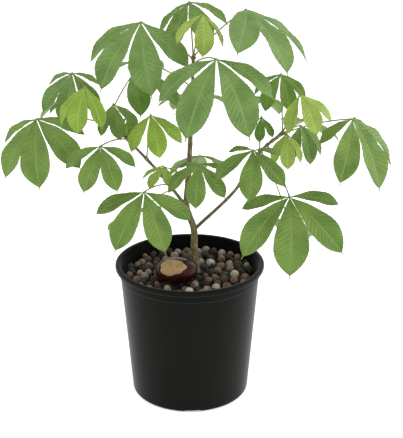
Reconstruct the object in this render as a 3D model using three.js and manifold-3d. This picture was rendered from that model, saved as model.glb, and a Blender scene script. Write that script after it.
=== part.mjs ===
// A young horse chestnut tree in a nursery pot filled with clay pebbles.
// Millimetres, +Z up. The origin is the centre of the pot's underside, and the front is toward -Y.
import * as THREE from 'three';
import { mergeVertices } from 'three/addons/utils/BufferGeometryUtils.js';
import Module from 'manifold-3d';

const wasm = await Module();
wasm.setup();

// ---- driving dimensions ----
const clearance = 0.3; // air left between neighbouring solids

const pot = {
  height: 139.5,
  rimRadius: 75,
  rimInnerRadius: 70.2,
  lipHeight: 5, // the lip is rolled over outside the collar
  collarHeight: 13.5,
  collarRadius: 70.6,
  wallTopRadius: 69.8,
  baseRadius: 59.5,
  baseCorner: 3,
  wall: 1.6,
  floor: 4.5,
  sides: 48,
};
const drain = { count: 4, turn: 3, width: 16, depth: 2, start: 32, holeRadius: 5, holePlace: 45 };
const ground = 127.5; // top of the packed fill, where the trunk is cut
const pebble = { count: 64, smallest: 3.8, largest: 4.8, sink: 1.2, fieldRadius: 63.5 };
const conker = {
  place: [-13, -24],
  width: 43,
  depth: 37,
  height: 24.5,
  scarToward: [-0.22, -0.62, 0.75], // the way the pale scar faces
  scarPlace: 0.9, // of the way from the middle to the skin, where the scar is flat
};

// Each limb: the points it passes through, its radius at the foot and at the tip, and its end bud's.
const limbDetail = { sides: 8, steps: 18, budSides: 8, budRows: 6 };
const trunkFlare = { radius: 0.9, height: 12 };
const trunkShape = {
  node: 'trunk',
  points: [[7, 0, 119], [4.6, 4, 153], [4, 6, 173], [-3, 5, 196], [-1, 5, 228], [2, 5, 287], [4, 5, 348]],
  foot: 4,
  tip: 1.2,
  bud: 2.2,
};
const leftShape = {
  node: 'bough_left',
  points: [[-3, 5, 196], [-24, 2, 226], [-38, 0, 244], [-59, 0, 267], [-79, 0, 286]],
  foot: 1.7,
  tip: 1.1,
  bud: 2,
};
const rightShape = {
  node: 'bough_right',
  points: [[5, 6, 172], [45, 0, 216], [70, 0, 257], [90, 0, 274]],
  foot: 1.8,
  tip: 1.1,
  bud: 2,
};

// A leaf is a stalk, a hub and leaflets fanned round the hub.
const leafRule = {
  step: 48, // degrees between leaflets
  fanWander: 4,
  droop: 34, // degrees each leaflet falls below the leaf's own plane
  tilt: 24, // degrees the leaf's plane leans toward its heading
  roll: 0, // degrees the leaf's plane rises on the anticlockwise side of its heading
  bend: 42, // degrees each leaflet arches from root to tip
  fold: 14, // degrees each half blade rises from the midrib
  twist: 0.06, // degrees a leaflet's outer edge falls for each degree it is turned from the middle one
  halfWidth: 0.21, // of the leaflet's length
  thickness: 0.018, // of the leaflet's length, at the midrib
  widest: 0.66, // of the way from root to tip
  wedge: 1.2, // 1 swells at once from the root; more keeps the root slim for longer
  sideLoss: 0.8, // of the length, lost by a leaflet turned 120 degrees from the middle one
  sidePower: 2.5, // how late that loss sets in
  sideSlim: 0.4, // of the width that goes with its length, lost by the same leaflet
  leafletCount: 5,
  leafletRows: 7,
  stalkRadius: 0.8,
  stalkSides: 3,
  stalkSteps: 4,
  stalkArch: 0.1, // of the stalk's length
  hubRadius: 1.6,
  rootWidth: 0.03, // of the widest
};

// from: the limb and how far along it; hub: where the leaflets meet; heading: degrees anticlockwise from
// +X that the middle leaflet points, seen from above; reach: the middle leaflet's length. A leaf keeps the
// rule's number of leaflets and its angles unless its row says otherwise.
const frontLeaves = [
  { name: 'far_left', from: ['left', 0.97], hub: [-145, -12, 292],
    heading: -87, reach: 71, step: 41, tilt: 28, droop: 30, roll: 12 },
  { name: 'left_back', from: ['left', 1], hub: [-114, 30, 326],
    heading: -100, reach: 54, step: 46, tilt: 30 },
  { name: 'left_dark', from: ['left', 1], hub: [-55, 45, 322],
    heading: -50, reach: 62, leaflets: 2, step: 46, tilt: 16, droop: 18 },
  { name: 'left_bright', from: ['left', 1], hub: [-95, -38, 330],
    heading: -103, reach: 47, leaflets: 3, tilt: 8, droop: 50 },
  { name: 'left_inner', from: ['left', 0.9], hub: [-72, -6, 305],
    heading: -76, reach: 37, leaflets: 3, step: 44, droop: 40, roll: 10 },
  { name: 'left_small', from: ['left', 0.74], hub: [-60, 10, 288],
    heading: -80, reach: 26, leaflets: 3, droop: 50 },
  { name: 'left_low', from: ['left', 0.78], hub: [-82, -47, 276],
    heading: -90, reach: 49, leaflets: 4, step: 44, tilt: 34, droop: 22 },
  { name: 'bough_young', from: ['left', 0.36], hub: [-23, -8, 242],
    heading: -130, reach: 30, step: 50, tilt: 14, droop: 20 },
  { name: 'centre_left', from: ['left', 0.55], hub: [-36, -22, 299],
    heading: -76, reach: 45, leaflets: 3, step: 46, roll: 8 },
  { name: 'low_left', from: ['left', 0.25], hub: [-42, -50, 232],
    heading: -96, reach: 66, leaflets: 4, step: 46, tilt: 38, droop: 16 },
  { name: 'top_left', from: ['trunk', 0.99], hub: [-45, 6, 381],
    heading: -108, reach: 79, leaflets: 4, step: 44, tilt: 28, droop: 30 },
  { name: 'front_centre', from: ['trunk', 0.97], hub: [25, -58, 361],
    heading: -92, reach: 83, leaflets: 4, step: 46, tilt: 28, droop: 30 },
  { name: 'top_right', from: ['trunk', 1], hub: [53, 0, 394],
    heading: -53, reach: 83, leaflets: 3, step: 38, tilt: 28, droop: 10, roll: -15, twist: 0.3 },
  { name: 'top', from: ['trunk', 1], hub: [0, 42, 393],
    heading: -92, reach: 56, leaflets: 4, tilt: 12, roll: 10 },
  { name: 'top_young', from: ['trunk', 1], hub: [13, -8, 391],
    heading: -84, reach: 45, leaflets: 3, step: 64, tilt: 5, droop: 48, roll: -8 },
  { name: 'centre', from: ['trunk', 0.5], hub: [10, -34, 254],
    heading: -100, reach: 46, tilt: 30, droop: 24 },
  { name: 'right_centre', from: ['right', 0.5], hub: [60, -46, 272],
    heading: -104, reach: 53, step: 50, tilt: 32, droop: 20 },
  { name: 'right_small', from: ['right', 0.78], hub: [70, 12, 287],
    heading: -100, reach: 26, leaflets: 3, droop: 45 },
  { name: 'right_back', from: ['right', 1], hub: [90, 42, 322],
    heading: -106, reach: 43, leaflets: 4, step: 44 },
  { name: 'right_bright', from: ['right', 1], hub: [104, -18, 317],
    heading: -70, reach: 44, leaflets: 3, tilt: 10, droop: 43, roll: 12 },
  { name: 'far_right', from: ['right', 0.98], hub: [155, -12, 292],
    heading: -46, reach: 75, droop: 36 },
  { name: 'right_low', from: ['right', 0.95], hub: [110, 30, 273],
    heading: -60, reach: 42, leaflets: 3, step: 42, droop: 42 },
  { name: 'right_young', from: ['right', 0.9], hub: [93, -14, 278],
    heading: -80, reach: 36, leaflets: 3, step: 52, tilt: 12, droop: 57 },
  { name: 'low_right', from: ['right', 0.86], hub: [95, -44, 225],
    heading: -89, reach: 81, step: 44, tilt: 36, droop: 18, roll: 5 },
];
// The far side of the crown, which fills it out as evenly as the near side.
const backLeaves = [
  { name: 'back_high', from: ['trunk', 0.95], hub: [3, 76, 292],
    heading: 98, reach: 50, leaflets: 4, step: 44, tilt: 22, droop: 14 },
  { name: 'back_top_left', from: ['trunk', 0.87], hub: [-53, 76, 327],
    heading: 122, reach: 54, leaflets: 4, step: 44, tilt: 22, droop: 14 },
  { name: 'back_left', from: ['left', 0.93], hub: [-113, 62, 294],
    heading: 140, reach: 52, leaflets: 4, tilt: 22, droop: 14 },
  { name: 'back_top_right', from: ['trunk', 0.8], hub: [70, 58, 294],
    heading: 56, reach: 48, step: 42, tilt: 22, droop: 14 },
  { name: 'back_right', from: ['right', 0.92], hub: [114, 66, 268],
    heading: 42, reach: 50, tilt: 22, droop: 14 },
  { name: 'back_low_right', from: ['right', 0.8], hub: [104, 60, 156],
    heading: 50, reach: 52, tilt: 22, droop: 14 },
  { name: 'back_low_left', from: ['left', 0.2], hub: [-49, 56, 172],
    heading: 138, reach: 52, leaflets: 4, tilt: 22, droop: 14 },
  { name: 'back_centre', from: ['trunk', 0.46], hub: [10, 62, 231],
    heading: 92, reach: 50, tilt: 22, droop: 26 },
];
const leaves = [...frontLeaves, ...backLeaves];

// ---- small helpers ----
const radians = THREE.MathUtils.degToRad;

// A repeatable number from 0 to 1 for each pair of whole numbers.
function chance(seed, turn) {
  const wave = Math.sin(seed * 12.9898 + turn * 78.233) * 43758.5453;
  return wave - Math.floor(wave);
}

function toSolid(geometry) {
  const plain = geometry.clone();
  plain.deleteAttribute('normal');
  plain.deleteAttribute('uv');
  const merged = mergeVertices(plain, 1e-4);
  const triVerts = [];
  for (let i = 0; i < merged.index.count; i += 3) {
    const [a, b, c] = [0, 1, 2].map((corner) => merged.index.getX(i + corner));
    if (a !== b && b !== c && c !== a) triVerts.push(a, b, c);
  }
  const vertProperties = new Float32Array(merged.attributes.position.array);
  const mesh = new wasm.Mesh({ numProp: 3, vertProperties, triVerts: new Uint32Array(triVerts) });
  return new wasm.Manifold(mesh);
}

function toMesh(node, solid, material) {
  const { vertProperties, triVerts } = solid.getMesh();
  const geometry = new THREE.BufferGeometry();
  geometry.setAttribute('position', new THREE.BufferAttribute(new Float32Array(vertProperties), 3));
  geometry.setIndex(new THREE.BufferAttribute(new Uint32Array(triVerts), 1));
  geometry.computeVertexNormals();
  const mesh = new THREE.Mesh(geometry, material);
  mesh.name = node;
  return mesh;
}

// Joining can leave scraps and sealed pockets: the largest outer body is kept.
function largestBody(solid) {
  return solid.decompose().reduce((best, body) => (body.volume() > best.volume() ? body : best));
}

function turned(profile, sides) {
  const points = profile.map(([radius, height]) => new THREE.Vector2(radius, height));
  return toSolid(new THREE.LatheGeometry(points, sides).rotateX(Math.PI / 2));
}

function movePoints(geometry, place) {
  const position = geometry.attributes.position;
  const point = new THREE.Vector3();
  for (let i = 0; i < position.count; i += 1) {
    point.fromBufferAttribute(position, i);
    position.setXYZ(i, ...place(point).toArray());
  }
  return geometry;
}

// ---- limbs and stalks ----
// A cylinder bent along a curve, with its radius given at each share of the length.
function sweep(curve, radiusAt, sides, steps) {
  const chord = curve.getPoint(1).sub(curve.getPoint(0)).normalize();
  const reference = Math.abs(chord.y) > 0.7 ? new THREE.Vector3(1, 0, 0) : new THREE.Vector3(0, 1, 0);
  const bent = movePoints(new THREE.CylinderGeometry(1, 1, 1, sides, steps), (point) => {
    const share = THREE.MathUtils.clamp(point.y + 0.5, 0, 1);
    const along = curve.getTangentAt(share);
    const side = new THREE.Vector3().crossVectors(along, reference).normalize();
    const out = new THREE.Vector3().crossVectors(side, along);
    const radius = radiusAt(share);
    return curve.getPointAt(share)
      .addScaledVector(side, point.x * radius)
      .addScaledVector(out, point.z * radius);
  });
  return toSolid(bent);
}

function limbCurve(shape) {
  return new THREE.CatmullRomCurve3(shape.points.map((point) => new THREE.Vector3(...point)));
}

// One tapering limb with a bud at its tip; extra widens it, to cut its neighbours clear.
function limbSolid(shape, extra = 0, flare = { radius: 0, height: 1 }) {
  const curve = limbCurve(shape);
  const groundShare = (ground - shape.points[0][2]) / curve.getLength();
  const radiusAt = (share) => {
    const risen = Math.max(share - groundShare, 0) * curve.getLength();
    const taper = THREE.MathUtils.lerp(shape.foot, shape.tip, share);
    return taper + flare.radius * Math.exp((-3 * risen) / flare.height) + extra;
  };
  const bud = new THREE.SphereGeometry(shape.bud + extra, limbDetail.budSides, limbDetail.budRows);
  bud.translate(...curve.getPoint(1).toArray());
  return sweep(curve, radiusAt, limbDetail.sides, limbDetail.steps).add(toSolid(bud));
}

function trunkSolid(extra = 0) {
  const below = new THREE.BoxGeometry(pot.rimRadius, pot.rimRadius, ground);
  below.translate(0, 0, clearance + ground / 2);
  return limbSolid(trunkShape, extra, trunkFlare).subtract(toSolid(below));
}

// ---- leaves ----
// Half the blade's width at each share of its length: a slow wedge, widest late, then a short point.
function bladeHalfWidth(share) {
  const { widest, halfWidth } = leafRule;
  const grown = share < widest
    ? Math.sin((Math.PI / 2) * (share / widest)) ** leafRule.wedge
    : Math.cos((Math.PI / 2) * ((share - widest) / (1 - widest)));
  return halfWidth * Math.max(grown, leafRule.rootWidth);
}

// A leaflet is a four-sided sphere drawn out into a blade that arches and folds along its midrib.
function leafletSolid(leaf, index, count, seed) {
  const wander = (chance(seed, index) - 0.5) * 2 * leafRule.fanWander;
  const turn = (index - (count - 1) / 2) * (leaf.step ?? leafRule.step) + wander;
  const sideways = Math.abs(turn) / 120;
  const length = leaf.reach * (1 - leafRule.sideLoss * sideways ** leafRule.sidePower);
  const breadth = length * (1 - leafRule.sideSlim * sideways);
  const heading = radians(leaf.heading);
  const tilt = radians(leaf.tilt ?? leafRule.tilt);
  const droop = radians(leaf.droop ?? leafRule.droop);
  const roll = radians(leaf.roll ?? leafRule.roll);
  const ahead = new THREE.Vector3(
    Math.cos(tilt) * Math.cos(heading), Math.cos(tilt) * Math.sin(heading), -Math.sin(tilt));
  const aside = new THREE.Vector3(-Math.sin(heading), Math.cos(heading), 0).applyAxisAngle(ahead, roll);
  const normal = new THREE.Vector3().crossVectors(ahead, aside);
  const outward = ahead.multiplyScalar(Math.cos(radians(turn)))
    .addScaledVector(aside, Math.sin(radians(turn)));
  const along = outward.clone().multiplyScalar(Math.cos(droop)).addScaledVector(normal, -Math.sin(droop));
  const above = normal.clone().multiplyScalar(Math.cos(droop)).addScaledVector(outward, Math.sin(droop));
  above.applyAxisAngle(along, radians(-(leaf.twist ?? leafRule.twist) * turn));
  const across = new THREE.Vector3().crossVectors(above, along);

  const bend = radians(leafRule.bend);
  const rise = Math.tan(radians(leafRule.fold));
  const blade = movePoints(new THREE.SphereGeometry(1, 4, leafRule.leafletRows), (point) => {
    const share = Math.acos(THREE.MathUtils.clamp(point.y, -1, 1)) / Math.PI;
    const ring = Math.max(Math.hypot(point.x, point.z), 1e-9);
    const atPole = share < 1e-4 || share > 1 - 1e-4;
    const width = atPole ? 0 : (point.x / ring) * bladeHalfWidth(share) * breadth;
    const depth = atPole ? 0 : (point.z / ring) * leafRule.thickness * 0.5 * length;
    const arc = bend * (share - 0.5);
    const forward = (length * (Math.sin(arc) + Math.sin(bend / 2))) / bend;
    const lift = (length * (Math.cos(arc) - Math.cos(bend / 2))) / bend;
    const out = depth + Math.abs(width) * rise;
    return new THREE.Vector3(...leaf.hub)
      .addScaledVector(along, forward + out * Math.sin(arc))
      .addScaledVector(above, lift + out * Math.cos(arc))
      .addScaledVector(across, width);
  });
  return toSolid(blade);
}

function stalkSolid(leaf, curves) {
  const [limb, share] = leaf.from;
  const start = curves[limb].getPointAt(share);
  const end = new THREE.Vector3(...leaf.hub);
  const middle = start.clone().lerp(end, 0.5);
  middle.z += leafRule.stalkArch * start.distanceTo(end);
  const curve = new THREE.QuadraticBezierCurve3(start, middle, end);
  return sweep(curve, () => leafRule.stalkRadius, leafRule.stalkSides, leafRule.stalkSteps);
}

function leafSolid(leaf, seed, curves, limbsWidened) {
  const count = leaf.leaflets ?? leafRule.leafletCount;
  const hub = new THREE.SphereGeometry(leafRule.hubRadius, 5, 4);
  hub.translate(...leaf.hub);
  let solid = stalkSolid(leaf, curves).add(toSolid(hub));
  for (let index = 0; index < count; index += 1) {
    solid = solid.add(leafletSolid(leaf, index, count, seed));
  }
  return largestBody(solid.subtract(limbsWidened));
}

// ---- pot, fill and seed ----
function potSolid() {
  const { height, lipHeight, collarHeight, wall, floor, baseCorner } = pot;
  const ledge = height - collarHeight;
  const shell = turned([
    [0, 0],
    [pot.baseRadius - baseCorner, 0],
    [pot.baseRadius - 1, 1.2],
    [pot.baseRadius, baseCorner],
    [pot.wallTopRadius, ledge - 1],
    [pot.collarRadius, ledge],
    [pot.collarRadius, height - lipHeight],
    [pot.rimRadius - 1, height - lipHeight],
    [pot.rimRadius, height - lipHeight + 1],
    [pot.rimRadius, height - 1.6],
    [pot.rimRadius - 1.6, height],
    [pot.rimInnerRadius + 1, height],
    [pot.rimInnerRadius, height - 1],
    [pot.collarRadius - wall, ledge + 1],
    [pot.wallTopRadius - wall, ledge - 1],
    [pot.baseRadius - wall, floor],
    [0, floor],
  ], pot.sides);
  return drainCuts().reduce((left, cut) => left.subtract(cut), shell);
}

// Channels under the floor that open at the foot of the wall, each with a hole through the floor.
function drainCuts() {
  const length = pot.baseRadius + 5 - drain.start;
  const cuts = [];
  for (let i = 0; i < drain.count; i += 1) {
    const angle = radians(drain.turn + (i * 360) / drain.count);
    const channel = new THREE.BoxGeometry(length, drain.width, drain.depth * 2);
    channel.translate(drain.start + length / 2, 0, 0).rotateZ(angle);
    const hole = new THREE.CylinderGeometry(drain.holeRadius, drain.holeRadius, pot.floor * 3, 16);
    hole.rotateX(Math.PI / 2).translate(drain.holePlace, 0, 0).rotateZ(angle);
    cuts.push(toSolid(channel), toSolid(hole));
  }
  return cuts;
}

// Packed fill under a loose top layer of pebbles, left clear under the trunk and the seed.
function pebblesSolid(keepOut) {
  const ledge = pot.height - pot.collarHeight;
  const inner = pot.baseRadius - pot.wall - clearance;
  const top = pot.wallTopRadius - pot.wall - clearance;
  const surfaceRadius = THREE.MathUtils.lerp(inner, top, (ground - pot.floor) / (ledge - pot.floor));
  let fill = turned([[0, pot.floor + clearance], [inner, pot.floor + clearance], [surfaceRadius, ground],
    [0, ground]], pot.sides);
  const goldenTurn = Math.PI * (3 - Math.sqrt(5));
  for (let i = 0; i < pebble.count; i += 1) {
    const radius = pebble.fieldRadius * Math.sqrt((i + 0.5) / pebble.count);
    const angle = i * goldenTurn;
    const size = THREE.MathUtils.lerp(pebble.smallest, pebble.largest, chance(i, 1));
    const stone = new THREE.IcosahedronGeometry(size, 0).rotateZ(chance(i, 2) * 6).rotateX(chance(i, 3) * 6);
    stone.translate(radius * Math.cos(angle), radius * Math.sin(angle), ground - pebble.sink);
    fill = fill.add(toSolid(stone));
  }
  return largestBody(keepOut.reduce((left, solid) => left.subtract(solid), fill));
}

// The seed the tree grew from: a squashed ball with its pale scar's side pressed flatter.
function conkerGeometry(extra = 0) {
  const scar = new THREE.Vector3(...conker.scarToward).normalize();
  const ball = movePoints(new THREE.SphereGeometry(1, 20, 14), (point) => {
    const over = point.dot(scar) - conker.scarPlace;
    return over > 0 ? point.clone().addScaledVector(scar, -over) : point.clone();
  });
  const half = [conker.width, conker.depth, conker.height].map((size) => size / 2 + extra);
  ball.scale(...half);
  ball.translate(...conker.place, ground + clearance + conker.height / 2);
  return ball;
}

// A plain cylinder of air over the fill round the trunk's foot.
function footSpace() {
  const [x, y] = trunkShape.points[0];
  const reach = trunkShape.foot + trunkFlare.radius + 1;
  const space = new THREE.CylinderGeometry(reach, reach, 20, 16).rotateX(Math.PI / 2);
  return toSolid(space.translate(x, y, ground + 10));
}

// ---- materials ----
function matt(colour, roughness) {
  return new THREE.MeshStandardMaterial({ color: colour, roughness, metalness: 0 });
}
const blackPlastic = () => matt('#262724', 0.5);
const firedClay = () => matt('#7a6252', 0.9);
const seedCoat = () => matt('#3e2118', 0.25);
const youngBark = () => matt('#6f6a55', 0.8);
const leafBlade = () => matt('#6b9251', 0.6);

// ---- the tree ----
function buildTree() {
  const tree = new THREE.Group();
  const curves = { trunk: limbCurve(trunkShape), left: limbCurve(leftShape), right: limbCurve(rightShape) };
  const trunk = trunkSolid();
  const trunkWidened = trunkSolid(clearance);
  const conkerSolid = toSolid(conkerGeometry()).subtract(trunkWidened);
  const keepOut = [footSpace(), toSolid(conkerGeometry(clearance))];
  const boughLeft = largestBody(limbSolid(leftShape).subtract(trunkWidened));
  const boughRight = largestBody(limbSolid(rightShape).subtract(trunkWidened));
  const limbsWidened = trunkWidened
    .add(limbSolid(leftShape, clearance))
    .add(limbSolid(rightShape, clearance));

  tree.add(toMesh('pot', potSolid(), blackPlastic()));
  tree.add(toMesh('clay_pebbles', pebblesSolid(keepOut), firedClay()));
  tree.add(toMesh('conker', conkerSolid, seedCoat()));
  tree.add(toMesh(trunkShape.node, trunk, youngBark()));
  tree.add(toMesh(leftShape.node, boughLeft, youngBark()));
  tree.add(toMesh(rightShape.node, boughRight, youngBark()));
  leaves.forEach((leaf, seed) => {
    tree.add(toMesh(`leaf_${leaf.name}`, leafSolid(leaf, seed, curves, limbsWidened), leafBlade()));
  });
  return tree;
}

export default buildTree();
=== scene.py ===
import bpy
import math
import numpy as np
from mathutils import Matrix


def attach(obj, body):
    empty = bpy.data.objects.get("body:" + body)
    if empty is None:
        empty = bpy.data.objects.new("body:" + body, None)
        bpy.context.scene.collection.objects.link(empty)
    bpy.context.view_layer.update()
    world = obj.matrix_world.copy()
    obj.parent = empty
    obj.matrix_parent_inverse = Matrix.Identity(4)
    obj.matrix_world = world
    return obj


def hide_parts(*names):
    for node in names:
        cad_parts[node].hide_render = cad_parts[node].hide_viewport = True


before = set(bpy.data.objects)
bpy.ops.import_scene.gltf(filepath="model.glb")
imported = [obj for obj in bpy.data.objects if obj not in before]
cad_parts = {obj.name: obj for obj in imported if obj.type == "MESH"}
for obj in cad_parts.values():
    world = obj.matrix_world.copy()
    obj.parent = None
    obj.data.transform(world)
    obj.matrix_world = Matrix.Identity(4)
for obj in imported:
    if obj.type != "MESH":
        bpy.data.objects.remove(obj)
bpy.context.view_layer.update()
print("frame loaded:", len(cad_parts), "nodes")

# sizes are in millimetres down to the camera and the studio, which are in metres; a mesh or a pattern is
# scaled by this as it is made
mm = 0.001


# sRGB hex to linear: c / 12.92 for a dark channel, else ((c + 0.055) / 1.055) to the power 2.4
def toLinear(hexColour):
    channels = [int(hexColour[i:i + 2], 16) / 255 for i in (1, 3, 5)]
    linear = [c / 12.92 if c <= 0.04045 else ((c + 0.055) / 1.055) ** 2.4 for c in channels]
    return (*linear, 1.0)


# a repeatable number from 0 to 1: the fraction of a steep sine of the seed and the turn
def chance(seed, turn):
    wave = math.sin(seed * 12.9898 + turn * 78.233) * 43758.5453
    return wave - math.floor(wave)


# vectors at length 1: each over the square root of its summed squares
def unit(vectors):
    return vectors / np.linalg.norm(vectors, axis=-1, keepdims=True)


# the same points spaced evenly by the length travelled along them
def evenly(path, count):
    travelled = np.concatenate([[0], np.cumsum(np.linalg.norm(np.diff(path, axis=0), axis=1))])
    wanted = np.linspace(0, travelled[-1], count)
    return np.stack([np.interp(wanted, travelled, path[:, k]) for k in range(3)], axis=-1)


# the straight steps from point to point, added up
def pathLength(path):
    return np.linalg.norm(np.diff(path, axis=0), axis=1).sum()


# a hump of height 1 at the middle that has faded to about a third one reach away
def hump(away, reach):
    return np.exp(-(away / reach) ** 2)


# one quad between neighbouring rows and columns, the last column joined to the first
def ringQuads(rows, columns):
    i, j = np.meshgrid(np.arange(rows - 1), np.arange(columns), indexing="ij")
    k = (j + 1) % columns
    return np.stack([i * columns + j, i * columns + k, (i + 1) * columns + k, (i + 1) * columns + j],
                    axis=-1).reshape(-1, 4)


# faces are turned round where the volume they close, summed over their triangles, is negative
def turnOutward(points, faceSets):
    volume = 0
    for faces in faceSets:
        corner = points[faces]
        for k in range(2, faces.shape[1]):
            volume += np.einsum("ij,ij", corner[:, 0], np.cross(corner[:, k - 1], corner[:, k]))
    return [faces[:, ::-1] for faces in faceSets] if volume < 0 else faceSets


# rings of equal count, closed by a fan of triangles from each end ring to its end point
def closedRings(rings, startPoint, endPoint):
    rows, columns = rings.shape[:2]
    points = np.vstack([rings.reshape(-1, 3), [startPoint], [endPoint]])
    first = np.arange(columns)
    last = first + (rows - 1) * columns
    startFan = np.stack([np.roll(first, -1), first, np.full(columns, len(points) - 2)], axis=-1)
    endFan = np.stack([last, np.roll(last, -1), np.full(columns, len(points) - 1)], axis=-1)
    return points, turnOutward(points, [ringQuads(rows, columns), startFan, endFan])


# a closed tube: ring k lies square to the path at its point k, with a radius for each angle
def tubeShape(path, radii):
    along = unit(np.gradient(path, axis=0))
    chord = unit(path[-1] - path[0])
    reference = np.array([1.0, 0, 0]) if abs(chord[1]) > 0.7 else np.array([0, 1.0, 0])
    side = unit(np.cross(along, reference))
    out = np.cross(side, along)
    angle = np.linspace(0, 2 * np.pi, radii.shape[1], endpoint=False)[None, :, None]
    spokes = np.cos(angle) * side[:, None] + np.sin(angle) * out[:, None]
    return closedRings(path[:, None] + radii[..., None] * spokes, path[0], path[-1])


# a ball's points: sine and cosine of the way round, scaled by the sine of the way down; height is the
# cosine of the way down
def ballPoints(rows, columns):
    down = np.linspace(0, np.pi, rows + 1)[1:-1, None]
    angle = np.linspace(0, 2 * np.pi, columns, endpoint=False)[None]
    return np.stack([np.sin(down) * np.cos(angle), np.sin(down) * np.sin(angle),
                     np.cos(down) + 0 * angle], axis=-1)


poles = np.array([[0, 0, 1.0], [0, 0, -1.0]])


# a profile of radius and height, carried round the upright axis and closed at both ends
def turnedShape(profile, sides):
    angle = np.linspace(0, 2 * np.pi, sides, endpoint=False)[None]
    radius, height = profile[:, :1], profile[:, 1:]
    rings = np.stack([radius * np.cos(angle), radius * np.sin(angle), height + 0 * angle], axis=-1)
    return closedRings(rings, [0, 0, profile[0, 1]], [0, 0, profile[-1, 1]])


# an outline carried straight up from one height to another
def prismShape(outline, low, high):
    rings = np.stack([np.column_stack([outline, np.full(len(outline), z)]) for z in (low, high)])
    middle = outline.mean(axis=0)
    return closedRings(rings, [*middle, low], [*middle, high])


# an object made from its data and put in the scene
def placed(name, data):
    made = bpy.data.objects.new(name, data)
    bpy.context.scene.collection.objects.link(made)
    return made


# closed shapes gathered into one mesh; a shade is the number of a material, for each set of faces
class Gathered:
    def __init__(self):
        self.points, self.faces, self.shades, self.count = [], [], [], 0

    def add(self, shape, shades=(0, 0, 0)):
        points, faceSets = shape
        for faces, shade in zip(faceSets, shades):
            self.faces.append(faces + self.count)
            self.shades.append(np.broadcast_to(shade, len(faces)))
        self.points.append(points)
        self.count += len(points)

    def mesh(self, name):
        made = bpy.data.meshes.new(name)
        points = np.vstack(self.points) * mm
        corners = np.concatenate([faces.ravel() for faces in self.faces])
        sizes = np.concatenate([np.full(len(faces), faces.shape[1]) for faces in self.faces])
        made.vertices.add(len(points))
        made.vertices.foreach_set("co", points.astype(np.float32).ravel())
        made.loops.add(len(corners))
        made.loops.foreach_set("vertex_index", corners.astype(np.int32))
        made.polygons.add(len(sizes))
        made.polygons.foreach_set("loop_start", (np.cumsum(sizes) - sizes).astype(np.int32))
        made.polygons.foreach_set("material_index", np.concatenate(self.shades).astype(np.int32))
        made.update(calc_edges=True)
        return made


# a piece of the tree: its mesh smoothed except across edges sharper than the crease angle
def makePiece(name, gathered, materials, nodes, crease=50):
    made = gathered.mesh(name)
    for material in materials:
        made.materials.append(material)
    made.shade_smooth()
    made.set_sharp_from_angle(angle=math.radians(crease))
    piece = placed(name, made)
    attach(piece, "root")
    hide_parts(*nodes)
    print(name, "made:", int(sum(len(p.vertices) - 2 for p in made.polygons)), "triangles")
    return piece


# adds a node, sets its fields and its inputs, and joins (input, from node, output) links
def addNode(tree, kind, inputs=None, links=(), **fields):
    made = tree.nodes.new(kind)
    for field, value in fields.items():
        setattr(made, field, value)
    for name, value in (inputs or {}).items():
        made.inputs[name].default_value = value
    for name, source, output in links:
        tree.links.new(source.outputs[output], made.inputs[name])
    return made


# an empty material, its nodes, and the link that gives a texture the piece's own coordinates, scaled on each
# axis: under 1 draws a pattern out that way and over 1 shortens it
def startMaterial(name, squeeze=(1, 1, 1)):
    material = bpy.data.materials.new(name)
    material.use_nodes = True
    tree = material.node_tree
    tree.nodes.clear()
    own = addNode(tree, "ShaderNodeTexCoord")
    place = addNode(tree, "ShaderNodeMapping", {"Scale": squeeze}, [("Vector", own, "Object")])
    return material, tree, [("Vector", place, "Vector")]


# colours laid along a ramp at the given places
def setRamp(ramp, stops):
    elements = ramp.color_ramp.elements
    while len(elements) < len(stops):
        elements.new(0.5)
    for element, (position, colour) in zip(elements, stops):
        element.position = position
        element.color = toLinear(colour)


# a texture's scale for features this many millimetres across
def perSize(size):
    return 1 / (size * mm)


leafTones = {
    "Mature": {"low": "#4f6a28", "high": "#627d32", "rib": "#6c843c"},
    "Cool": {"low": "#526e30", "high": "#637f3e", "rib": "#6c8748"},
    "Dark": {"low": "#4f6f20", "high": "#5f7d2c", "rib": "#688236"},
    "Bright": {"low": "#6b8625", "high": "#7d9835", "rib": "#879f43"},
    "Young": {"low": "#7b903a", "high": "#8ea34c", "rib": "#98aa56"},
}
leafSkin = {"drift": 20, "cell": 1.4, "cellDepth": 0.06, "felt": 1.2}
leafGlow = {"Subsurface Weight": 0.15, "Subsurface Scale": 1.0 * mm, "Subsurface Radius": (0.8, 1.0, 0.4)}


# leaf blade, grown and wax-coated: a soft satin green that light passes into, with a fine net of cells
# between the veins, drawn at 1.4 mm where the real net is about 0.5 mm
def waxyBlade(toneName):
    material, tree, here = startMaterial("waxyBlade" + toneName)
    drift = addNode(tree, "ShaderNodeTexNoise", {"Scale": perSize(leafSkin["drift"]), "Detail": 3.0}, here)
    green = addNode(tree, "ShaderNodeValToRGB", links=[("Fac", drift, "Fac")])
    setRamp(green, [(0.38, leafTones[toneName]["low"]), (0.62, leafTones[toneName]["high"])])
    cells = addNode(tree, "ShaderNodeTexVoronoi", {"Scale": perSize(leafSkin["cell"])}, here,
                    feature="DISTANCE_TO_EDGE")
    bump = addNode(tree, "ShaderNodeBump", {"Strength": 0.5, "Distance": leafSkin["cellDepth"] * mm},
                   [("Height", cells, "Distance")])
    shader = addNode(tree, "ShaderNodeBsdfPrincipled",
                     {"Roughness": 0.5, "IOR": 1.45, "Specular IOR Level": 0.35, **leafGlow},
                     [("Base Color", green, "Color"), ("Normal", bump, "Normal")])
    addNode(tree, "ShaderNodeOutputMaterial", links=[("Surface", shader, "BSDF")])
    return material


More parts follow.
